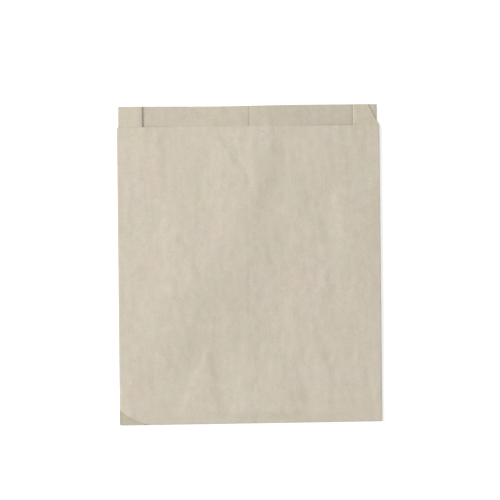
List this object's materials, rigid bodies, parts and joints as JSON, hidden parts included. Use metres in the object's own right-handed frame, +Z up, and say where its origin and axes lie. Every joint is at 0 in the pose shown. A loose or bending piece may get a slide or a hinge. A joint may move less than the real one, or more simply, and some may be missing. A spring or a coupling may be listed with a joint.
{
  "type": "kraft paper bag",
  "caption": "Flat kraft paper bag with side gussets, lying on its back, with a lip at the open mouth and a bottom closed by a turned-under flap.",
  "frame": {"origin": "middle of the bag on the surface that it lies on", "axes": "+X across the bag to the right as seen from above, +Y along the bag towards its mouth, +Z up through the front panel"},
  "size_m": [0.18, 0.218, 0.0033],
  "materials": {
    "kraft_paper": "matt, uncoated, light natural brown"
  },
  "bodies": {
    "root": {"paper_bag": "kraft_paper"}
  },
  "joints": []
}
